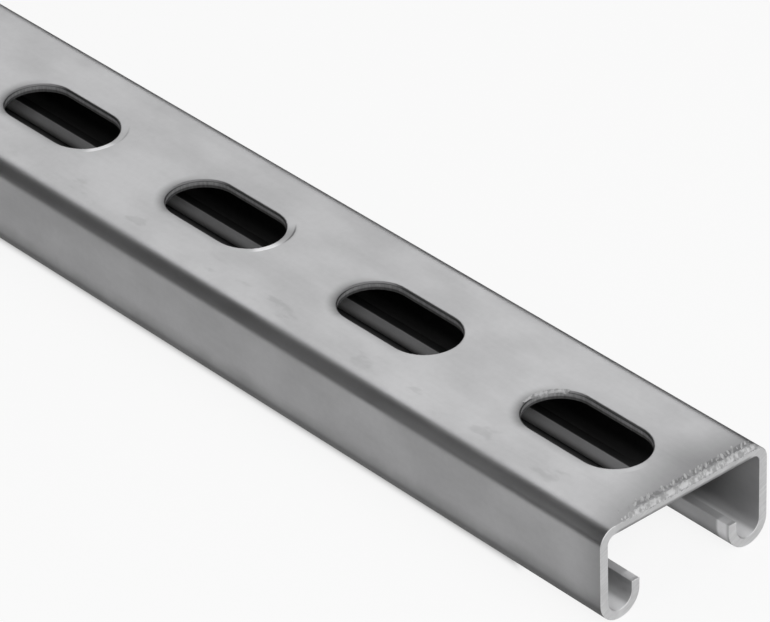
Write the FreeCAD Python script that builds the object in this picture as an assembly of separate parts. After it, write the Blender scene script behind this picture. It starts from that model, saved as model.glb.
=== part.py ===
import FreeCAD, Part

import math
import os

from FreeCAD import Vector

# Slotted strut channel: one strip of 14 gauge steel, punched with a row of slots and
# roll formed into a shallow C. The web is on top and the flanges hang from it. Each flange
# runs into a full half-round bend and ends in a short upright lip, so that a channel nut
# can hook over the lips' edges.
#
# Millimetres. X runs along the channel, Y across it and Z up. The origin is under the
# middle of the channel, on the plane that the two lips rest on.

# Stock
LENGTH = 609.6
GAUGE = 1.9

# Section
WIDTH = 41.275
DEPTH = 20.64
WEB_BEND_INNER_RADIUS = 1.6
LIP_OPENING = 22.225
LIP_RISE = 1.74

# Slots
SLOT_LENGTH = 28.575
SLOT_WIDTH = 14.2875
SLOT_PITCH = 50.8
END_TO_SLOT_CENTRE = 25.4
PUNCH_ROLLOVER = 0.45

# Worked out from the sizes above
WEB_BEND_OUTER_RADIUS = WEB_BEND_INNER_RADIUS + GAUGE
HALF_WIDTH = WIDTH / 2
LIP_WIDTH = HALF_WIDTH - LIP_OPENING / 2
LIP_BEND_OUTER_RADIUS = LIP_WIDTH / 2
LIP_HEIGHT = LIP_BEND_OUTER_RADIUS + LIP_RISE
SLOT_END_RADIUS = SLOT_WIDTH / 2
SLOT_STRAIGHT = SLOT_LENGTH - SLOT_WIDTH
ROUNDING = 1e-6


def in_section(y, z):
    """A point of the cross section, at the channel's first end."""
    return Vector(-LENGTH / 2, y, z)


def bend(side, centre_y, centre_z, radius, start_deg, end_deg):
    """A round corner of the section, from one angle to another about its centre."""
    points = []
    for degrees in (start_deg, (start_deg + end_deg) / 2, end_deg):
        y = centre_y + radius * math.cos(math.radians(degrees))
        z = centre_z + radius * math.sin(math.radians(degrees))
        points.append(in_section(side * y, z))
    return Part.Arc(*points).toShape()


def flange_surface(side, inset, lip_y):
    """The edges of one flange and lip, from the web's bend to the lip's end.

    side is 1 or -1. inset is how far this surface lies inside the outer one: 0 for the
    outside of the channel and the gauge for the inside. lip_y is its y along the lip.
    """
    web_bend_y = HALF_WIDTH - WEB_BEND_OUTER_RADIUS
    web_bend_z = DEPTH - WEB_BEND_OUTER_RADIUS
    web_radius = WEB_BEND_OUTER_RADIUS - inset
    lip_bend_y = HALF_WIDTH - LIP_BEND_OUTER_RADIUS
    lip_bend_z = LIP_BEND_OUTER_RADIUS
    lip_radius = LIP_BEND_OUTER_RADIUS - inset
    flange_y = side * (HALF_WIDTH - inset)
    return [
        bend(side, web_bend_y, web_bend_z, web_radius, 90, 0),
        Part.makeLine(in_section(flange_y, web_bend_z), in_section(flange_y, lip_bend_z)),
        bend(side, lip_bend_y, lip_bend_z, lip_radius, 0, -180),
        Part.makeLine(in_section(side * lip_y, lip_bend_z), in_section(side * lip_y, LIP_HEIGHT)),
    ]


def section():
    """The face of the whole cross section."""
    bend_y = HALF_WIDTH - WEB_BEND_OUTER_RADIUS
    lip_outside = LIP_OPENING / 2
    lip_inside = lip_outside + GAUGE
    edges = [
        Part.makeLine(in_section(-bend_y, DEPTH), in_section(bend_y, DEPTH)),
        Part.makeLine(in_section(-bend_y, DEPTH - GAUGE), in_section(bend_y, DEPTH - GAUGE)),
    ]
    for side in (1, -1):
        edges += flange_surface(side, 0, lip_outside)
        edges += flange_surface(side, GAUGE, lip_inside)
        lip_end = [in_section(side * y, LIP_HEIGHT) for y in (lip_outside, lip_inside)]
        edges.append(Part.makeLine(*lip_end))
    return Part.Face(Part.Wire(Part.__sortEdges__(edges)))


def slot_centres():
    """The x of each slot. The row is centred, with at least the end distance left."""
    room = LENGTH - 2 * END_TO_SLOT_CENTRE
    pitches = math.floor(room / SLOT_PITCH + ROUNDING)
    first = -pitches * SLOT_PITCH / 2
    return [first + i * SLOT_PITCH for i in range(pitches + 1)]


def slot_punch(centre_x):
    """The solid that a slot removes: round-ended, and through the web only."""
    z = DEPTH - 2 * GAUGE
    half = SLOT_STRAIGHT / 2
    r = SLOT_END_RADIUS
    front_left = Vector(centre_x - half, -r, z)
    front_right = Vector(centre_x + half, -r, z)
    back_right = Vector(centre_x + half, r, z)
    back_left = Vector(centre_x - half, r, z)
    outline = Part.Wire(
        [
            Part.makeLine(front_left, front_right),
            Part.Arc(front_right, Vector(centre_x + half + r, 0, z), back_right).toShape(),
            Part.makeLine(back_right, back_left),
            Part.Arc(back_left, Vector(centre_x - half - r, 0, z), front_left).toShape(),
        ]
    )
    return Part.Face(outline).extrude(Vector(0, 0, 3 * GAUGE))


def rim_edges(shape):
    """The slots' edges in the web's outer face, which the punch pulls down."""
    edges = []
    for edge in shape.Edges:
        box = edge.BoundBox
        on_top = abs(box.ZMin - DEPTH) < ROUNDING and abs(box.ZMax - DEPTH) < ROUNDING
        in_slot = max(abs(box.YMin), abs(box.YMax)) < SLOT_END_RADIUS + ROUNDING
        if on_top and in_slot:
            edges.append(edge)
    return edges


def strut_channel():
    """The finished channel, with its slots and their rolled-over rims."""
    slots = Part.makeCompound([slot_punch(x) for x in slot_centres()])
    formed = section().extrude(Vector(LENGTH, 0, 0))
    punched = formed.cut(slots)
    return punched.makeFillet(PUNCH_ROLLOVER, rim_edges(punched)).Solids[0]


def main():
    os.makedirs("parts", exist_ok=True)
    channel = strut_channel()
    channel.exportStep(os.path.join("parts", "strut_channel.step"))
    print("slots", len(slot_centres()), "volume cm3", round(channel.Volume / 1000, 2))


main()
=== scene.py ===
import math
import random

import bmesh
import bpy
from mathutils import Matrix, Vector


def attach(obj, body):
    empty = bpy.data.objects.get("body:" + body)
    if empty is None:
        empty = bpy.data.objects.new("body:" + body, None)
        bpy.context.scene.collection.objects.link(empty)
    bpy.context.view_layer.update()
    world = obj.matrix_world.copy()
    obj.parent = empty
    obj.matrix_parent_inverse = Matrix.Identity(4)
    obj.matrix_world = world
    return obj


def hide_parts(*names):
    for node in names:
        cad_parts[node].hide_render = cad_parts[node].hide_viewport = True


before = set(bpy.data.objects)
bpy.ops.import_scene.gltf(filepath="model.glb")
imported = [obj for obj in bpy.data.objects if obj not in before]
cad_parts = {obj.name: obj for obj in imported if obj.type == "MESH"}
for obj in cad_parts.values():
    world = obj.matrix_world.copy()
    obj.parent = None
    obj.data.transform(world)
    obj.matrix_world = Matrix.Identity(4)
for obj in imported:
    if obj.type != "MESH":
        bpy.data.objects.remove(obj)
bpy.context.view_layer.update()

# A length of slotted strut channel in satin rolled steel, seen on its sawn end.
# Everything is in metres, in the same frame as the solids: X along the channel, Y across
# it, Z up, with the origin under the middle on the plane that the lips rest on.

MM = 0.001

# Sizes that the solids have too
LENGTH = 609.6 * MM
GAUGE = 1.9 * MM
WIDTH = 41.275 * MM
DEPTH = 20.64 * MM
WEB_BEND_RADIUS = 3.5 * MM
LIP_OPENING = 22.225 * MM
LIP_HEIGHT = 6.5 * MM
SLOT_LENGTH = 28.575 * MM
SLOT_WIDTH = 14.2875 * MM
SLOT_PITCH = 50.8 * MM
SLOT_COUNT = 12
ROLLOVER = 0.45 * MM

# Worked out from the sizes above
HALF_LENGTH = LENGTH / 2
HALF_WIDTH = WIDTH / 2
HALF_OPENING = LIP_OPENING / 2
LIP_BEND_RADIUS = (HALF_WIDTH - HALF_OPENING) / 2
SLOT_RADIUS = SLOT_WIDTH / 2
SLOT_STRAIGHT = SLOT_LENGTH - SLOT_WIDTH
FLAT_HALF = HALF_WIDTH - WEB_BEND_RADIUS

# Finer relief of the punched and cut edges
EDGE = 0.12 * MM
DISH_DEPTH = 0.1 * MM
DISH_WIDTH = 2.6 * MM
BREAKOUT = 0.1 * MM
BURNISHED_SHARE = 0.4

# The punch presses each slot's rim down in a facet at one end, more at some slots. Part
# of the facet gets a painted highlight, and another part painted shade, darkest along the
# crease at its outer edge.
# Here and below, each span is the angle to either side of the middle one
FACET_IN_TURN = (1.0, 0.85, 0.1, 0.2)
FACET_DEPTH = 0.22 * MM
FACET_WIDTH = 1.8 * MM
FACET_MARKED_FROM = 0.4 * MM
FACET_ANGLE_DEG = 5
FACET_SPAN_DEG = 60
# The facets' painted highlight: its strength, and its middle angle and span
HIGHLIGHT_GAIN = 1.5
HIGHLIGHT_ANGLE_DEG = -17
HIGHLIGHT_SPAN_DEG = 22
# The facets' painted shade, darkest in a crease line at their outer edge
CREASE_SHADE_IN_TURN = (0.5, 1.0, 0.1, 0.1)
CREASE_SHADE_WIDTH = 0.35 * MM
SHADE_ON_FACET = 0.45
CREASE_SHADE_ANGLE_DEG = 28
CREASE_SHADE_SPAN_DEG = 26

# A dark line of painted shade in each rim, with a halo of painted shade outside it. Both fade out
# round one end
RIM_LINE_WIDTH = 0.25 * MM
RIM_LINE_STRENGTH = 0.7
UNSHADED_ANGLE_DEG = -35
UNSHADED_SPAN_DEG = 70
HALO_WIDTH = DISH_WIDTH
HALO_STRENGTH = 0.8
HALO_ANGLE_DEG = -120
HALO_SPAN_DEG = 130

# Marks across a lip's edge, from the trough's side to the mouth's side. The edge gets a
# painted highlight only towards the ends, from this far from the middle
LIP_EDGE_INSIDE = (1, 1, 0.9, 0.3)
LIP_EDGE_MOUTH = (0.3, 0.3, 0.6, 0.9)
LIP_EDGE_HIGHLIGHT = (0.3, 1, 1, 0.3)
LIP_HIGHLIGHT_FROM = 270 * MM
LIP_HIGHLIGHT_RUN = 30 * MM

# Burrs of torn metal, along the sawn end of the web and on the last slot's rim. Each has
# a swollen strip with strokes on it, and a fringe that hangs over the edge and leans out
BURR_STEP = 0.11 * MM
BURR_SINK = 0.02 * MM
BURR_ROOT = 0.4 * MM
SWELL_HEIGHT = 0.05 * MM
STROKE_ON_SWELL = 0.7
STROKE_REACH = 3 * MM
FRINGE_INSET = 0.3 * MM

END_BURR_WIDTH = 3.6 * MM
END_BURR_SWELL = 1.7 * MM
END_BURR_LEAN = 0.3
END_BURR_FROM = -17 * MM
END_BURR_BEND_DEG = 45
END_BURR_FADE_IN = 9 * MM
END_BURR_FADE_OUT = 1.5 * MM

SLOT_BURR_WIDTH = 0.5 * MM
SLOT_BURR_SWELL = 0.2 * MM
SLOT_BURR_LEAN = 0.35
SLOT_BURR_FROM_DEG = 122
SLOT_BURR_TO_DEG = 200
SLOT_BURR_FADE_IN = 0.5 * MM
SLOT_BURR_FADE_OUT = 3 * MM

# In millimetres: how far the fringes hang, and how much the slot's may change in a step
END_FRINGE = (0.15, 0.45)
SLOT_FRINGE = (0.45, 0.85)
SLOT_FRINGE_START = 0.7
SLOT_FRINGE_CHANGE = 0.15

# What the burrs' strokes are drawn from: ranges of their size, slant, distance in from the
# edge and step to the next one, then their length, width and height at size 1. Distances,
# steps and shapes are in millimetres
END_BURR_SEED = 11
SLOT_BURR_SEED = 4
INNER_STROKES = {
    "sizes": (0.5, 1.2),
    "slants": (0.3, 1.0),
    "inboard": (2.2, 2.8),
    "steps": (0.6, 1.2),
    "shape": (0.8, 0.32, 0.05),
}
EDGE_STROKES = {
    "sizes": (0.7, 1.3),
    "slants": (0.4, 1.0),
    "inboard": (0.5, 0.8),
    "steps": (0.7, 1.2),
    "shape": (0.85, 0.4, 0.06),
}
SLOT_STROKES = {
    "sizes": (0.6, 1.3),
    "slants": (-0.5, 0.5),
    "inboard": (0.1, 0.4),
    "steps": (0.8, 1.6),
    "shape": (0.4, 0.3, 0.05),
}

# How finely the surfaces are divided, and where their edges stay sharp
BAND_HALF = 12 * MM
ALONG_CELL = 20
ACROSS_CELL = 10
WEB_BEND_STEPS = 12
LIP_BEND_STEPS = 24
RIM_DISTANCES = [
    d * MM for d in (0, 0.03, 0.1, 0.2, 0.32, 0.45, 0.65, 0.9, 1.2, 1.55, 1.75, 1.85, 2.1)
] + [DISH_WIDTH]
BACK_RIM_DISTANCES = [d * MM for d in (0, 0.6)]
RIM_TO_BORDER = (0.3, 0.65, 1)
WALL_STEPS = 5
WELD_DISTANCE = 0.002 * MM
SHARP_DEG = 35
BURR_SHARP_DEG = 50

# Colours that the steel's tones scale
ROLLED_COLOUR = (0.52, 0.52, 0.527)
WALL_COLOUR = (0.48, 0.48, 0.485)
SAWN_COLOUR = (0.86, 0.86, 0.865)
TORN_COLOUR = (0.58, 0.58, 0.585)

# The studio. Each lamp has its place, what it faces, its width and height, and its watts
WORLD_LIGHT = 0.45
FLOOR_HALF = 5
FLOOR_WHITE = 0.88
FLOOR_GREY = 0.8
# The paper's own grey under the channel, a painted shade
PAINTED_SHADE_GREY = 0.13
BLACK_CARD = 0.03
GREY_CARD = 0.3
LAMPS = {
    "front_softbox": ((1.5, -0.7, 1.3), (0.2, 0, 0), 0.8, 0.5, 12.0),
    "end_softbox": ((1.4, 0.1, 1.0), (0.3, 0, 0), 0.8, 0.8, 4.5),
}

# Camera, at the photo's angle
CAMERA_AT = Vector((841.55, -521.69, 550.91)) * MM
CAMERA_TO = Vector((225.12, -0.65, 20.64)) * MM
CAMERA_ROLL_DEG = -2.149
CAMERA_LENS = 241.5
SENSOR_WIDTH = 36.0


class Patches:
    """Quads gathered into one mesh. Each grid of points brings its own material number.

    Each point also has marks from 0 to 1: whether it is on the dull inside of the sheet,
    how far it faces into the mouth, how strong its painted highlight is, and how dark its painted
    shade.
    """

    def __init__(self):
        self.points = []
        self.faces = []
        self.materials = []
        self.marks = {"inside": [], "mouth": [], "worn": [], "crease": []}

    def grid(self, rows, material=0, closed=False, **marks):
        """Adds rows of points with quads between them, joined round where it is closed."""
        first = len(self.points)
        across = len(rows[0])
        for row in rows:
            self.points.extend(row)
        for name, values in self.marks.items():
            values.extend(marks.get(name, [0] * across * len(rows)))
        columns = across if closed else across - 1
        for i in range(len(rows) - 1):
            for j in range(columns):
                k = (j + 1) % across
                corners = [i * across + j, i * across + k]
                corners += [(i + 1) * across + k, (i + 1) * across + j]
                self.faces.append([first + c for c in corners])
                self.materials.append(material)

    def cap(self, row):
        """Closes the end of a closed grid with one face."""
        first = len(self.points)
        self.points.extend(row)
        for values in self.marks.values():
            values.extend([0] * len(row))
        self.faces.append([first + i for i in range(len(row))])
        self.materials.append(0)

    def make(self, name, materials, sharp_deg):
        """Turns the patches into one object with these materials."""
        mesh = bpy.data.meshes.new(name)
        mesh.from_pydata(self.points, [], self.faces)
        for material in materials:
            mesh.materials.append(material)
        mesh.polygons.foreach_set("material_index", self.materials)
        corners = [i for face in self.faces for i in face]
        for mark, values in self.marks.items():
            data = mesh.attributes.new(mark, "FLOAT", "CORNER").data
            data.foreach_set("value", [values[i] for i in corners])
        weld(mesh)
        mesh.shade_smooth()
        mesh.set_sharp_from_angle(angle=math.radians(sharp_deg))
        piece = bpy.data.objects.new(name, mesh)
        bpy.context.scene.collection.objects.link(piece)
        return piece


def weld(mesh):
    """Joins the points that neighbouring grids share, and turns every face outwards."""
    work = bmesh.new()
    work.from_mesh(mesh)
    bmesh.ops.remove_doubles(work, verts=work.verts, dist=WELD_DISTANCE)
    bmesh.ops.recalc_face_normals(work, faces=work.faces)
    work.to_mesh(mesh)
    work.free()


def clamp(value, low, high):
    return max(low, min(high, value))


def hump(value, middle, half_width):
    """1 at the middle, falling in a curve to 0 at half_width to either side."""
    return max(0, 1 - ((value - middle) / half_width) ** 2)


def angle_from(angle_deg, middle_deg):
    """How far an angle is turned from a middle one, from -180 to 180."""
    return (angle_deg - middle_deg + 180) % 360 - 180


def arc(centre_y, centre_z, radius, start_deg, end_deg, steps):
    """Stations round a bend: (y, z, normal y, normal z), without the first one."""
    stations = []
    for i in range(1, steps + 1):
        angle = math.radians(start_deg + (end_deg - start_deg) * i / steps)
        ny, nz = math.cos(angle), math.sin(angle)
        stations.append((centre_y + radius * ny, centre_z + radius * nz, ny, nz))
    return stations


def straight(start, end, shares):
    """Stations along a straight, at these shares of it."""
    (y0, z0, ny, nz), (y1, z1) = start, end
    return [(y0 + (y1 - y0) * t, z0 + (z1 - z0) * t, ny, nz) for t in shares]


def near_side_stations():
    """The outer surface of the near side, from the lip's edge to the web's slot band."""
    lip_y = -HALF_OPENING
    bend_y = -(HALF_WIDTH - LIP_BEND_RADIUS)
    web_z = DEPTH - WEB_BEND_RADIUS
    lip_top = (lip_y, LIP_HEIGHT - EDGE, 1, 0)
    stations = straight(lip_top, (lip_y, LIP_BEND_RADIUS), (0, 0.5, 1))
    stations += arc(bend_y, LIP_BEND_RADIUS, LIP_BEND_RADIUS, 0, -180, LIP_BEND_STEPS)
    foot = (-HALF_WIDTH, LIP_BEND_RADIUS, -1, 0)
    stations += straight(foot, (-HALF_WIDTH, web_z), (0.04, 0.3, 0.6, 0.96, 1))
    stations += arc(-FLAT_HALF, web_z, WEB_BEND_RADIUS, 180, 90, WEB_BEND_STEPS)
    corner = (-FLAT_HALF, DEPTH, 0, 1)
    stations += straight(corner, (-BAND_HALF, DEPTH), (0.08, 0.5, 1))
    return stations


def facing_mouth(station):
    """How far a point of the outer surface faces into the mouth: the lip's face does."""
    y, z, _, _ = station
    if z > LIP_HEIGHT:
        return 0
    return clamp((y + HALF_WIDTH) / (2 * LIP_BEND_RADIUS), 0, 1)


def cell_centres():
    first = -(SLOT_COUNT - 1) * SLOT_PITCH / 2
    return [first + i * SLOT_PITCH for i in range(SLOT_COUNT)]


def kept_off_ends(x):
    """The long surfaces stop short of the cut ends, where the broken edge starts."""
    limit = HALF_LENGTH - EDGE
    return clamp(x, -limit, limit)


def along():
    """The x of every row of points along the channel."""
    steps = SLOT_COUNT * ALONG_CELL
    return [kept_off_ends(-HALF_LENGTH + LENGTH * i / steps) for i in range(steps + 1)]


def surface(station, side, depth, x):
    """A point at some depth under the outer surface, on the near (1) or far (-1) side."""
    y, z, ny, nz = station
    return (x, side * (y - depth * ny), z - depth * nz)


def add_sides(patches, stations):
    """Both flanges with their bends and lips: outer and inner surfaces and lip edges."""
    rows = along()
    lip_y, _, _, _ = stations[0]
    top_outer = (lip_y - EDGE, LIP_HEIGHT, 0, 0)
    top_inner = (lip_y - GAUGE + EDGE, LIP_HEIGHT, 0, 0)
    mouth = [facing_mouth(s) for s in stations] * len(rows)
    # Towards the ends, the lips' edges get a painted highlight
    highlight_share = [clamp((abs(x) - LIP_HIGHLIGHT_FROM) / LIP_HIGHLIGHT_RUN, 0, 1) for x in rows]
    edge_marks = {
        "inside": LIP_EDGE_INSIDE * len(rows),
        "mouth": LIP_EDGE_MOUTH * len(rows),
        "worn": [amount * share for amount in highlight_share for share in LIP_EDGE_HIGHLIGHT],
    }
    for side in (1, -1):
        outer = [[surface(s, side, 0, x) for s in stations] for x in rows]
        inner = [[surface(s, side, GAUGE, x) for s in stations] for x in rows]
        edge = [
            [
                surface(stations[0], side, GAUGE, x),
                surface(top_inner, side, 0, x),
                surface(top_outer, side, 0, x),
                surface(stations[0], side, 0, x),
            ]
            for x in rows
        ]
        patches.grid(outer, mouth=mouth)
        patches.grid(inner, inside=[1] * len(mouth))
        patches.grid(edge, **edge_marks)


def cell_border(centre):
    """Points round a pitch cell of the slot band, in step with slot_outline."""
    half = SLOT_PITCH / 2
    points = []
    for i in range(ALONG_CELL):
        points.append((centre + half - SLOT_PITCH * i / ALONG_CELL, BAND_HALF))
    for i in range(ACROSS_CELL):
        points.append((centre - half, BAND_HALF - 2 * BAND_HALF * i / ACROSS_CELL))
    for i in range(ALONG_CELL):
        points.append((centre - half + SLOT_PITCH * i / ALONG_CELL, -BAND_HALF))
    for i in range(ACROSS_CELL):
        points.append((centre + half, -BAND_HALF + 2 * BAND_HALF * i / ACROSS_CELL))
    return [(kept_off_ends(x), y) for x, y in points]


def slot_outline(centre, radius):
    """A round-ended slot's outline, in step with cell_border, at some rim radius.

    It is two equal halves. Each starts halfway up one round end, goes along the slot to
    halfway up the other end, and then round that end to where the next half starts.
    """
    half_straight = SLOT_STRAIGHT / 2
    eighth = SLOT_RADIUS * math.pi / 4
    side = SLOT_STRAIGHT + 2 * eighth
    points = []

    def add(angle, shift):
        x = centre + shift + radius * math.cos(angle)
        points.append((x, radius * math.sin(angle)))

    for half_turn, sign in ((0, 1), (math.pi, -1)):
        for i in range(ALONG_CELL):
            run = side * i / ALONG_CELL
            if run < eighth:
                add(half_turn + math.pi / 4 + run / SLOT_RADIUS, sign * half_straight)
            elif run < eighth + SLOT_STRAIGHT:
                add(half_turn + math.pi / 2, sign * (half_straight - (run - eighth)))
            else:
                past = (run - eighth - SLOT_STRAIGHT) / SLOT_RADIUS
                add(half_turn + math.pi / 2 + past, -sign * half_straight)
        for i in range(ACROSS_CELL):
            angle = half_turn + math.pi * 3 / 4 + math.pi / 2 * i / ACROSS_CELL
            add(angle, -sign * half_straight)
    return points


def slot_angle_deg(centre, x, y):
    """Which way a point of a slot's outline faces, seen from the slot's middle line."""
    half = SLOT_STRAIGHT / 2
    return math.degrees(math.atan2(y, x - centre - clamp(x - centre, -half, half)))


def rim_drop(distance, facet):
    """How far the punch pulls the outer face down, this far from a slot's wall."""
    drop = FACET_DEPTH * facet * max(0, 1 - distance / FACET_WIDTH)
    if distance < ROLLOVER:
        drop += ROLLOVER - math.sqrt(ROLLOVER**2 - (ROLLOVER - distance) ** 2)
    if distance < DISH_WIDTH:
        drop += DISH_DEPTH * (1 - distance / DISH_WIDTH) ** 2
    return drop


def rings(centre, distances, border):
    """Outlines from a slot's wall out to the border of its cell, as (distance, points)."""
    found = [(d, slot_outline(centre, SLOT_RADIUS + d)) for d in distances]
    last = found[-1][1]
    for share in RIM_TO_BORDER:
        blend = [
            (x + (bx - x) * share, y + (by - y) * share)
            for (x, y), (bx, by) in zip(last, border)
        ]
        found.append((DISH_WIDTH, blend))
    return found


def slot_wall(centre, facets):
    """Rings down a slot's wall: burnished straight first, then torn slightly wider."""
    found = []
    for i in range(WALL_STEPS + 1):
        share = i / WALL_STEPS
        torn = max(0, share - BURNISHED_SHARE) / (1 - BURNISHED_SHARE)
        ring = []
        for (x, y), facet in zip(slot_outline(centre, SLOT_RADIUS + BREAKOUT * torn), facets):
            top = DEPTH - rim_drop(0, facet)
            ring.append((x, y, top + (DEPTH - GAUGE - top) * share))
        found.append(ring)
    return found


def on_facet(distance):
    return 1 if FACET_MARKED_FROM < distance < FACET_WIDTH else 0


def worn_marks(angles, distance, strength):
    """How strong a slot facet's painted highlight is at each angle, this far from the wall."""
    bright = [strength * hump(a, HIGHLIGHT_ANGLE_DEG, HIGHLIGHT_SPAN_DEG) for a in angles]
    return [min(1, HIGHLIGHT_GAIN * b) * on_facet(distance) for b in bright]


def crease_marks(angles, distance, strength):
    """How dark the painted shade of the crease, rim line and halo is at each angle, this far from
    the wall.
    """
    in_crease = hump(distance, FACET_WIDTH, CREASE_SHADE_WIDTH)
    in_crease = max(SHADE_ON_FACET * on_facet(distance), in_crease)
    in_line = RIM_LINE_STRENGTH if distance < RIM_LINE_WIDTH else 0
    in_halo = HALO_STRENGTH * max(0, 1 - distance / HALO_WIDTH)
    marks = []
    for a in angles:
        dark = strength * hump(a, CREASE_SHADE_ANGLE_DEG, CREASE_SHADE_SPAN_DEG)
        shaded = 1 - hump(a, UNSHADED_ANGLE_DEG, UNSHADED_SPAN_DEG)
        halo = hump(angle_from(a, HALO_ANGLE_DEG), 0, HALO_SPAN_DEG)
        marks.append(max(dark * in_crease, shaded * max(in_line, halo * in_halo)))
    return marks


def add_cell(patches, index):
    """One pitch of the web's band: the faces round a slot, and the slot's wall."""
    centre = cell_centres()[index]
    border = cell_border(centre)
    strength = FACET_IN_TURN[index % len(FACET_IN_TURN)]
    shade_strength = CREASE_SHADE_IN_TURN[index % len(CREASE_SHADE_IN_TURN)]
    angles = [slot_angle_deg(centre, x, y) for x, y in slot_outline(centre, SLOT_RADIUS)]
    facets = [strength * hump(a, FACET_ANGLE_DEG, FACET_SPAN_DEG) for a in angles]
    outer, worn, crease = [], [], []
    for d, ring in rings(centre, RIM_DISTANCES, border):
        outer.append([(x, y, DEPTH - rim_drop(d, f)) for (x, y), f in zip(ring, facets)])
        # Painted highlight and painted shade round the slot
        worn += worn_marks(angles, d, strength)
        crease += crease_marks(angles, d, shade_strength)
    patches.grid(outer, closed=True, worn=worn, crease=crease)
    back = [
        [(x, y, DEPTH - GAUGE) for x, y in ring]
        for _, ring in rings(centre, [BREAKOUT + d for d in BACK_RIM_DISTANCES], border)
    ]
    patches.grid(back, closed=True, inside=[1] * len(back) * len(back[0]))
    patches.grid(slot_wall(centre, facets), material=1, closed=True)


def end_loop(stations, depth):
    """(y, z) right across an end at some depth, from the near lip to the far lip."""
    near = [surface(s, 1, depth, 0)[1:] for s in stations]
    far = [surface(s, -1, depth, 0)[1:] for s in reversed(stations)]
    band = [
        (-BAND_HALF + 2 * BAND_HALF * i / ACROSS_CELL, DEPTH - depth)
        for i in range(1, ACROSS_CELL)
    ]
    return near + band + far


def add_end(patches, stations, side):
    """A cut end: the sawn face between the two surfaces, with its edges broken.

    It stops below each lip's own broken edge, and a short strip closes it there.
    """
    depths = [0, EDGE, GAUGE - EDGE, GAUGE]
    offsets = [-EDGE, 0, 0, -EDGE]
    rises = [0, EDGE, EDGE, 0]
    rows = []
    for depth, offset in zip(depths, offsets):
        x = side * (HALF_LENGTH + offset)
        rows.append([(x, y, z) for y, z in end_loop(stations, depth)])
    patches.grid(rows, material=2)
    x = side * (HALF_LENGTH - EDGE)
    for lip in (0, -1):
        face_edge = [row[lip] for row in rows]
        lip_edge = [(x, y, z + rise) for (_, y, z), rise in zip(face_edge, rises)]
        patches.grid([lip_edge, face_edge], material=2)


def build_channel(materials):
    patches = Patches()
    stations = near_side_stations()
    add_sides(patches, stations)
    for index in range(SLOT_COUNT):
        add_cell(patches, index)
    for side in (1, -1):
        add_end(patches, stations, side)
    return patches.make("channel", materials, SHARP_DEG)


def draw_strokes(rng, start, stop, sizes, slants, inboard, steps, shape):
    """A burr's strokes: (run, centre, length, width, slant, height) one after another."""
    strokes = []
    run = start
    while run < stop:
        size = rng.uniform(*sizes)
        slant = rng.uniform(*slants)
        centre = rng.uniform(*inboard) * MM
        length, width, height = [part * MM * size for part in shape]
        strokes.append((run, centre, length, width, slant, height))
        run += rng.uniform(*steps) * MM
    return strokes


def ridge(strokes, run, inboard):
    """The height of a burr's strokes at a place: along the edge, and in from it."""
    highest = 0
    for at, centre, length, width, slant, height in strokes:
        off = (run - at - slant * (inboard - centre)) / width
        if abs(off) < 1:
            square = 1 - off * off - ((inboard - centre) / length) ** 2
            highest = max(highest, height * math.sqrt(max(0, square)))
    return highest


def build_burr(name, edge, strokes, width, swell, lean, material):
    """A ragged strip of torn metal along an edge, closed underneath, inside the steel.

    edge has one (run, point, inboard direction, normal, strength, drop) per row, where drop
    is how far the fringe hangs. It leans out from the edge by a share of that. The edge
    itself is swollen over a width, and the strokes stand on it.
    """
    columns = [width - BURR_STEP * i for i in range(round(width / BURR_STEP))]
    rows = []
    for run, point, inboard, normal, strength, drop in edge:
        near = [s for s in strokes if abs(s[0] - run) < STROKE_REACH]
        row = []
        for v in columns:
            stroke = ridge(near, run, v)
            swollen = SWELL_HEIGHT * hump(v, 0, swell) + STROKE_ON_SWELL * stroke
            height = strength * max(swollen, stroke) - BURR_SINK
            row.append(point + inboard * v + normal * height)
        # The fringe bulges out, ends in its tip, and comes back in under the edge
        hang = drop * strength
        out = inboard * hang * lean
        row.append(point - out * 0.6 - normal * hang * 0.4)
        row.append(point - out - normal * hang)
        row.append(point + inboard * FRINGE_INSET - normal * hang * 0.9)
        row.append(point + inboard * width - normal * BURR_ROOT)
        rows.append(row)
    patches = Patches()
    patches.grid(rows, closed=True)
    patches.cap(rows[0])
    patches.cap(rows[-1])
    return patches.make(name, [material], BURR_SHARP_DEG)


def build_end_burr(material):
    """Slanting torn strokes along the web's sawn edge, with a row of specks inboard."""
    rng = random.Random(END_BURR_SEED)
    stop = FLAT_HALF + math.radians(END_BURR_BEND_DEG) * WEB_BEND_RADIUS
    strokes = draw_strokes(rng, END_BURR_FROM, stop, **INNER_STROKES)
    strokes += draw_strokes(rng, END_BURR_FROM, stop, **EDGE_STROKES)
    edge = []
    for i in range(round((stop - END_BURR_FROM) / BURR_STEP) + 1):
        run = END_BURR_FROM + BURR_STEP * i
        angle = max(0, run - FLAT_HALF) / WEB_BEND_RADIUS
        normal = Vector((0, math.sin(angle), math.cos(angle)))
        centre = Vector((HALF_LENGTH, min(run, FLAT_HALF), DEPTH - WEB_BEND_RADIUS))
        point = centre + normal * WEB_BEND_RADIUS
        fade_in = clamp((run - END_BURR_FROM) / END_BURR_FADE_IN, 0, 1)
        fade_out = clamp((stop - run) / END_BURR_FADE_OUT, 0, 1)
        drop = rng.uniform(*END_FRINGE) * MM
        edge.append((run, point, Vector((-1, 0, 0)), normal, fade_in * fade_out, drop))
    shape = END_BURR_WIDTH, END_BURR_SWELL, END_BURR_LEAN
    return build_burr("end_burr", edge, strokes, *shape, material)


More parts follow.
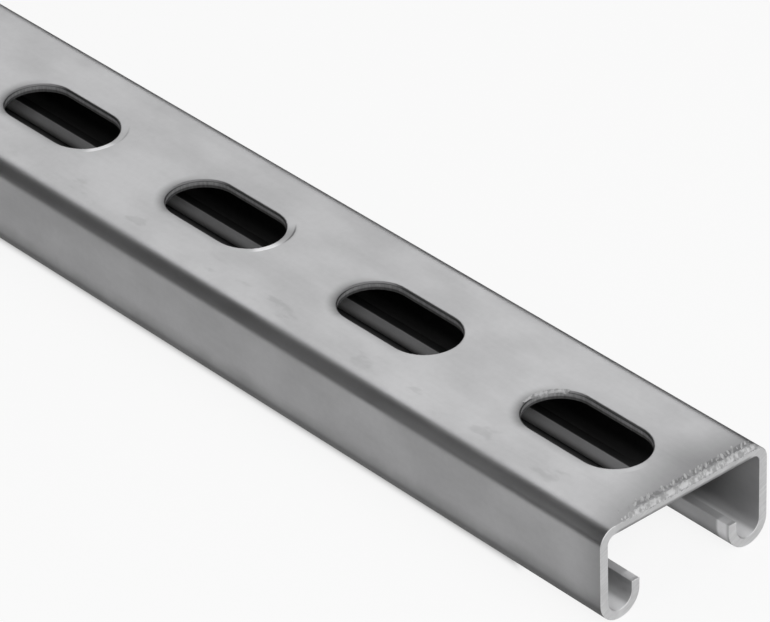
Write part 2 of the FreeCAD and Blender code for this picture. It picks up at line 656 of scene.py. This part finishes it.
def build_slot_burr(material):
    """A torn fringe round part of the last slot's rim, hanging over its wall."""
    rng = random.Random(SLOT_BURR_SEED)
    centre = Vector((cell_centres()[-1] - SLOT_STRAIGHT / 2, 0, DEPTH))
    first, last = math.radians(SLOT_BURR_FROM_DEG), math.radians(SLOT_BURR_TO_DEG)
    stop = SLOT_RADIUS * (last - first)
    strokes = draw_strokes(rng, 0, stop, **SLOT_STROKES)
    least, most = [drop * MM for drop in SLOT_FRINGE]
    drop = SLOT_FRINGE_START * MM
    edge = []
    for i in range(round(stop / BURR_STEP) + 1):
        run = BURR_STEP * i
        angle = first + run / SLOT_RADIUS
        inboard = Vector((math.cos(angle), math.sin(angle), 0))
        strength = min(run / SLOT_BURR_FADE_IN, (stop - run) / SLOT_BURR_FADE_OUT, 1)
        rim = centre + inboard * SLOT_RADIUS
        change = rng.uniform(-SLOT_FRINGE_CHANGE, SLOT_FRINGE_CHANGE) * MM
        drop = clamp(drop + change, least, most)
        edge.append((run, rim, inboard, Vector((0, 0, 1)), strength, drop))
    shape = SLOT_BURR_WIDTH, SLOT_BURR_SWELL, SLOT_BURR_LEAN
    return build_burr("slot_burr", edge, strokes, *shape, material)


class Recipe:
    """A material's nodes, added one after another. Its methods return their outputs."""

    def __init__(self, name):
        self.material = bpy.data.materials.new(name)
        self.material.use_nodes = True
        self.nodes = self.material.node_tree.nodes
        self.links = self.material.node_tree.links
        self.shader = self.nodes["Principled BSDF"]
        self.place = self.nodes.new("ShaderNodeTexCoord").outputs["Object"]

    def add(self, kind, values, **settings):
        """A node with these settings, its inputs set or linked by name."""
        node = self.nodes.new(kind)
        for name, setting in settings.items():
            setattr(node, name, setting)
        for name, value in values.items():
            if isinstance(value, bpy.types.NodeSocket):
                self.links.new(value, node.inputs[name])
            else:
                node.inputs[name].default_value = value
        return node

    def axes(self):
        split = self.add("ShaderNodeSeparateXYZ", {"Vector": self.place})
        return split.outputs["X"], split.outputs["Y"], split.outputs["Z"]

    def mark(self, name):
        return self.add("ShaderNodeAttribute", {}, attribute_name=name).outputs["Fac"]

    def math(self, operation, first, second=0.0):
        return self.add("ShaderNodeMath", {0: first, 1: second}, operation=operation).outputs[0]

    def product(self, values):
        total = values[0]
        for value in values[1:]:
            total = self.math("MULTIPLY", total, value)
        return total

    def noise(self, size, detail, stretch=(1, 1, 1), rotation=(0, 0, 0)):
        """Noise with spots of about this size, drawn out where stretch is under 1."""
        scale = [1 / share for share in stretch]
        values = {"Vector": self.place, "Scale": scale, "Rotation": rotation}
        place = self.add("ShaderNodeMapping", values, vector_type="TEXTURE").outputs[0]
        values = {"Vector": place, "Scale": 1 / size, "Detail": detail}
        return self.add("ShaderNodeTexNoise", values).outputs["Fac"]

    def ramp(self, value, start, end, first, last):
        """Turns a run from start to end smoothly into a run from first to last."""
        values = {"Value": value, "From Min": start, "From Max": end}
        values.update({"To Min": first, "To Max": last})
        node = self.add("ShaderNodeMapRange", values, interpolation_type="SMOOTHSTEP")
        return node.outputs["Result"]

    def blend(self, share, first, last):
        """The first value where share is 0, and the last where it is 1."""
        values = {"Factor": share, "A": first, "B": last}
        return self.add("ShaderNodeMix", values).outputs["Result"]

    def finish(self, colour, tone, roughness, metallic=1.0):
        """Sets the shader: a colour that tone scales, with roughness and metalness."""
        scaled = self.add("ShaderNodeVectorMath", {0: colour, "Scale": tone}, operation="SCALE")
        self.links.new(scaled.outputs[0], self.shader.inputs["Base Color"])
        self.links.new(roughness, self.shader.inputs["Roughness"])
        if isinstance(metallic, bpy.types.NodeSocket):
            self.links.new(metallic, self.shader.inputs["Metallic"])
        else:
            self.shader.inputs["Metallic"].default_value = metallic

    def bump(self, reliefs):
        """Adds up reliefs, each a height from 0 to 1 and its depth in metres."""
        normal = None
        for height, depth in reliefs:
            values = {"Height": height, "Distance": depth}
            if normal:
                values["Normal"] = normal
            normal = self.add("ShaderNodeBump", values).outputs["Normal"]
        self.links.new(normal, self.shader.inputs["Normal"])


def oil_spots(r, y):
    """Where spots are: in a band along the web, between the slots and the near bend."""
    off_band = r.math("ABSOLUTE", r.math("ADD", y, 14 * MM))
    in_band = r.ramp(off_band, 1 * MM, 4 * MM, 1, 0)
    return r.math("MULTIPLY", in_band, r.ramp(r.noise(4 * MM, 3, (0.5, 1, 1)), 0.55, 0.72, 0, 1))


def end_darkening(r, y, from_middle, cloud):
    """The outer faces' tone near the ends: darker there, with a ragged edge."""
    off_centre = r.math("ABSOLUTE", r.math("SUBTRACT", y, 5 * MM))
    run_in = r.math("SUBTRACT", from_middle, r.math("MULTIPLY", off_centre, 0.33))
    run_in = r.math("ADD", run_in, r.math("MULTIPLY", cloud, 4 * MM))
    return r.ramp(run_in, HALF_LENGTH - 14.8 * MM, HALF_LENGTH - 0.8 * MM, 1, 0.55)


def end_burr_shade(r, x, y, on_top):
    """Where painted shade is: in a patchy band across the web's top, by the burr at its end."""
    return r.product(
        [
            on_top,
            r.ramp(x, HALF_LENGTH - 3.2 * MM, HALF_LENGTH - 2.4 * MM, 0, 1),
            r.ramp(x, HALF_LENGTH - 1.8 * MM, HALF_LENGTH - 1.2 * MM, 1, 0),
            r.ramp(y, -14 * MM, -8 * MM, 0, 1),
            r.ramp(r.noise(1.3 * MM, 2), 0.4, 0.55, 0.1, 1),
        ]
    )


def lip_end_highlight(r, mouth, from_middle):
    """Where the lips' faces get a painted highlight: in a strip just behind each cut end."""
    return r.product(
        [
            mouth,
            r.ramp(from_middle, HALF_LENGTH - 3.8 * MM, HALF_LENGTH - 2.6 * MM, 0, 1),
            r.ramp(from_middle, HALF_LENGTH - 1.2 * MM, HALF_LENGTH - 0.4 * MM, 1, 0.4),
        ]
    )


def rolled_steel():
    """The sheet's satin surface: cloudy, with rolling lines, darker near the ends, soiled and
    painted with shade at the foot, and with painted light and shade elsewhere.
    """
    r = Recipe("rolled_steel")
    x, y, z = r.axes()
    inside, mouth = r.mark("inside"), r.mark("mouth")
    dull = r.math("MAXIMUM", inside, mouth)
    cloud = r.noise(11 * MM, 3, (0.6, 1, 1))
    grain = r.noise(1.3 * MM, 4)
    lines = r.noise(0.7 * MM, 2, (0.05, 1, 1))
    from_middle = r.math("ABSOLUTE", x)
    on_top = r.ramp(z, DEPTH - 0.44 * MM, DEPTH - 0.14 * MM, 0, 1)
    across_bend = r.math("ADD", r.math("ABSOLUTE", y), z)
    ragged_z = r.math("ADD", z, r.math("MULTIPLY", r.noise(9 * MM, 3), -3 * MM))
    # Painted shade deep inside the channel, turning to painted light near the ends
    depths = r.ramp(from_middle, HALF_LENGTH - 32.8 * MM, HALF_LENGTH + 0.2 * MM, 0.12, 1.6)
    lip_ends = r.ramp(from_middle, HALF_LENGTH - 14.8 * MM, HALF_LENGTH - 5.8 * MM, 1, 0.75)
    tones = [
        # The web, slightly lighter towards the burred end, and the mill's finish
        r.blend(on_top, 1, r.ramp(x, 200 * MM, 250 * MM, 1, 1.06)),
        r.ramp(cloud, 0.33, 0.67, 0.95, 1.035),
        r.ramp(grain, 0.3, 0.7, 0.985, 1.015),
        r.ramp(lines, 0.3, 0.7, 0.99, 1.01),
        r.ramp(oil_spots(r, y), 0, 1, 1, 0.88),
        # Painted shade inside, deepest away from the ends, which get painted light, and less on
        # the trough's floor
        r.blend(inside, 1, depths),
        r.blend(inside, 1, r.ramp(z, GAUGE, 2.7 * MM, 1, 0.47)),
        # The lips' faces, lifted by painted light, with painted shade at their foot
        r.ramp(mouth, 0.5, 1, 1, 1.25),
        r.blend(mouth, 1, r.ramp(z, 1.5 * MM, 4.8 * MM, 0.48, 1)),
        # Darker near the ends, painted shade in a band by the burr, and a dark line of painted
        # shade along the middle of each bend
        r.blend(dull, end_darkening(r, y, from_middle, cloud), 1),
        r.ramp(end_burr_shade(r, x, y, on_top), 0, 1, 1, 0.66),
        r.ramp(across_bend, 38.9 * MM, 39.23 * MM, 1, 0.88),
        # The lips' faces at the ends, with a painted highlight just behind each cut end, and
        # darker within about 15 mm of each end
        r.ramp(lip_end_highlight(r, mouth, from_middle), 0, 1, 1, 2),
        r.blend(mouth, 1, lip_ends),
        # The flanges' foot: ragged soil mixed with painted shade, and a band of painted shade
        # lowest down
        r.blend(dull, r.ramp(ragged_z, 1 * MM, 6.5 * MM, 0.55, 1), 1),
        r.blend(dull, r.ramp(z, 3.7 * MM, 4.9 * MM, 0.68, 1), 1),
        # Painted highlights and painted shade round the slots, and painted highlights along the
        # lips' edges
        r.ramp(r.mark("worn"), 0, 1, 1, 1.65),
        r.ramp(r.mark("crease"), 0, 1, 1, 0.25),
    ]
    roughness = r.math("ADD", r.ramp(cloud, 0.3, 0.7, 0.42, 0.35), r.math("MULTIPLY", dull, 0.15))
    trough = r.math("MULTIPLY", inside, r.ramp(z, 2 * MM, 5 * MM, 1, 0))
    metallic = r.product(
        [r.ramp(dull, 0, 1, 1, 0.5), r.ramp(mouth, 0.5, 1, 1, 0.3), r.ramp(trough, 0, 1, 1, 0.1)]
    )
    r.finish(ROLLED_COLOUR, r.product(tones), roughness, metallic)
    r.bump([(r.noise(16 * MM, 2), 0.09 * MM), (grain, 0.004 * MM), (lines, 0.002 * MM)])
    return r.material


def punched_wall():
    """A slot's wall: drawn lines down a bright burnished band, then dull torn metal."""
    r = Recipe("punched_wall")
    _, _, z = r.axes()
    torn_from = DEPTH - 1.44 * MM
    lines = r.noise(0.35 * MM, 3, (1, 1, 0.08))
    torn = r.ramp(z, torn_from, torn_from + 0.4 * MM, 0.3, 1)
    tone = r.product([torn, r.ramp(lines, 0.3, 0.7, 0.8, 1.15)])
    roughness = r.ramp(z, torn_from, torn_from + 0.5 * MM, 0.6, 0.36)
    r.finish(WALL_COLOUR, tone, roughness, metallic=0.5)
    r.bump([(lines, 0.03 * MM)])
    return r.material


def sawn_face():
    """The cut ends: bright, with fine slanting saw lines, and painted shade low in the web."""
    r = Recipe("sawn_face")
    _, y, z = r.axes()
    lines = r.noise(0.4 * MM, 3, (1, 0.08, 1), (math.radians(25), 0, 0))
    in_web = r.product(
        [
            r.ramp(r.math("ABSOLUTE", y), 15.5 * MM, 17.5 * MM, 1, 0),
            r.ramp(z, 12 * MM, 15 * MM, 0, 1),
        ]
    )
    tones = [
        r.ramp(lines, 0.3, 0.7, 0.95, 1.03),
        r.ramp(r.noise(3 * MM, 3), 0.3, 0.7, 0.95, 1.03),
        # Painted shade along the web's face towards its lower edge
        r.blend(in_web, 1, r.ramp(z, 18.9 * MM, 19.6 * MM, 0.4, 0.92)),
    ]
    roughness = r.ramp(lines, 0.3, 0.7, 0.55, 0.42)
    r.finish(SAWN_COLOUR, r.product(tones), roughness)
    r.bump([(lines, 0.02 * MM)])
    return r.material


def torn_steel():
    """Burrs: bright raw metal with dark specks, brightest at the very end."""
    r = Recipe("torn_steel")
    x, _, _ = r.axes()
    specks = r.noise(0.6 * MM, 2, (0.35, 1, 1), (0, 0, math.radians(-40)))
    at_end = r.ramp(x, HALF_LENGTH - 1.8 * MM, HALF_LENGTH - 0.3 * MM, 0.75, 1)
    tone = r.product([r.ramp(specks, 0.35, 0.62, 0.7, 1.15), at_end])
    r.finish(TORN_COLOUR, tone, r.ramp(specks, 0.3, 0.7, 0.5, 0.38), metallic=0.5)
    r.bump([(specks, 0.03 * MM)])
    return r.material


def build_lamp(name, at, towards, width, height, power):
    """A softbox that lights the floor and the dull steel. No steel mirrors it."""
    data = bpy.data.lights.new(name, "AREA")
    data.shape = "RECTANGLE"
    data.size, data.size_y = width, height
    data.energy = power
    lamp = bpy.data.objects.new(name, data)
    lamp.location = at
    lamp.rotation_mode = "QUATERNION"
    lamp.rotation_quaternion = (Vector(towards) - Vector(at)).to_track_quat("-Z", "Y")
    lamp.visible_glossy = False
    bpy.context.scene.collection.objects.link(lamp)


def build_camera():
    data = bpy.data.cameras.new("camera")
    data.lens = CAMERA_LENS
    data.sensor_width = SENSOR_WIDTH
    data.clip_start, data.clip_end = 0.01, 100
    camera = bpy.data.objects.new("camera", data)
    aim = (CAMERA_TO - CAMERA_AT).to_track_quat("-Z", "Y").to_matrix().to_4x4()
    roll = Matrix.Rotation(math.radians(CAMERA_ROLL_DEG), 4, "Z")
    camera.matrix_world = Matrix.Translation(CAMERA_AT) @ aim @ roll
    bpy.context.scene.collection.objects.link(camera)
    bpy.context.scene.camera = camera


def strip(x0, x1, low, high):
    """The corners of a rectangle along X, between two edges that are given as (y, z)."""
    return [(x0, *low), (x1, *low), (x1, *high), (x0, *high)]


def build_sheet(name, corners, material):
    """A flat card or floor, which isn't part of the object."""
    mesh = bpy.data.meshes.new(name)
    mesh.from_pydata(corners, [], [(0, 1, 2, 3)])
    mesh.materials.append(material)
    sheet = bpy.data.objects.new(name, mesh)
    bpy.context.scene.collection.objects.link(sheet)
    return sheet


def floor_paper():
    """Pale paper that the camera sees nearly white, except in the channel's shade, which is
    painted into the paper as dark grey.
    """
    r = Recipe("floor_paper")
    r.nodes.remove(r.shader)
    x, y, _ = r.axes()
    shade_end = HALF_LENGTH - 30.8 * MM
    clear_x = r.ramp(r.math("ABSOLUTE", x), shade_end, shade_end + 9 * MM, 0, 1)
    clear_y = r.ramp(r.math("ABSOLUTE", y), 16 * MM, 20 * MM, 0, 1)
    underneath = r.add("ShaderNodeNewGeometry", {}).outputs["Backfacing"]
    clear = r.math("MAXIMUM", r.math("MAXIMUM", clear_x, clear_y), underneath)
    seen = r.add("ShaderNodeLightPath", {}).outputs["Is Camera Ray"]
    share = r.product([seen, clear, FLOOR_WHITE])
    grey = r.ramp(clear, 0, 1, PAINTED_SHADE_GREY, FLOOR_GREY)
    paper = r.add("ShaderNodeBsdfDiffuse", {"Color": grey}).outputs[0]
    white = r.add("ShaderNodeEmission", {"Color": (1, 1, 1, 1)}).outputs[0]
    mix = r.add("ShaderNodeMixShader", {0: share, 1: paper, 2: white}).outputs[0]
    r.links.new(mix, r.nodes["Material Output"].inputs["Surface"])
    return r.material


def build_world():
    """A white studio for the camera and for mirrored rays, and a softer one for light."""
    world = bpy.data.worlds.new("studio")
    bpy.context.scene.world = world
    world.use_nodes = True
    nodes, links = world.node_tree.nodes, world.node_tree.links
    background = nodes["Background"]
    path = nodes.new("ShaderNodeLightPath")
    seen = nodes.new("ShaderNodeMath")
    seen.operation = "MAXIMUM"
    links.new(path.outputs["Is Camera Ray"], seen.inputs[0])
    links.new(path.outputs["Is Glossy Ray"], seen.inputs[1])
    strength = nodes.new("ShaderNodeMapRange")
    strength.inputs["To Min"].default_value = WORLD_LIGHT
    strength.inputs["To Max"].default_value = 1.0
    links.new(seen.outputs[0], strength.inputs["Value"])
    links.new(strength.outputs["Result"], background.inputs["Strength"])
    background.inputs["Color"].default_value = (1, 1, 1, 1)


def card_paint(name, shade):
    """A plain matt material for a card, in this shade of grey."""
    paint = bpy.data.materials.new(name)
    paint.use_nodes = True
    shader = paint.node_tree.nodes["Principled BSDF"]
    shader.inputs["Base Color"].default_value = (shade, shade, shade, 1)
    shader.inputs["Roughness"].default_value = 1
    return paint


def build_flag(name, corners, paint):
    """A card that only mirrored rays see."""
    card = build_sheet(name, corners, paint)
    card.visible_camera = False
    card.visible_diffuse = False
    card.visible_transmission = False
    card.visible_shadow = False


def build_flags():
    """Dark cards that only the steel mirrors, as a studio sets them round bright metal."""
    black = card_paint("flag_black", BLACK_CARD)
    grey = card_paint("flag_grey", GREY_CARD)
    side = [(-1.75, -0.25, 0), (-0.55, -1.7, 0), (-0.6, -1.7, 4.5), (-1.85, 0.5, 4.5)]
    high = [(0.7, 0.45, 1.0), (0.1, 0.75, 1.0), (0.0, 0.4, 1.3), (0.6, 0.1, 1.3)]
    build_flag("side_flag", side, black)
    build_flag("front_flag", strip(-1.2, 0.5, (-0.08, 0), (-0.08, 0.024)), black)
    build_flag("front_foot", strip(-1.2, 0.5, (-0.079, 0.0005), (-0.064, 0.0005)), grey)
    build_flag("back_flag", strip(-1.1, 0.7, (0.07, 0), (0.07, 0.04)), black)
    build_flag("high_flag", high, black)


def main():
    bpy.context.scene.view_settings.view_transform = "Standard"
    torn = torn_steel()
    channel = build_channel([rolled_steel(), punched_wall(), sawn_face()])
    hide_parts("strut_channel")
    for piece in (channel, build_end_burr(torn), build_slot_burr(torn)):
        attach(piece, "root")
    floor = strip(-FLOOR_HALF, FLOOR_HALF, (-FLOOR_HALF, 0), (FLOOR_HALF, 0))
    build_sheet("floor", floor, floor_paper())
    build_world()
    build_flags()
    for name, values in LAMPS.items():
        build_lamp(name, *values)
    build_camera()


main()
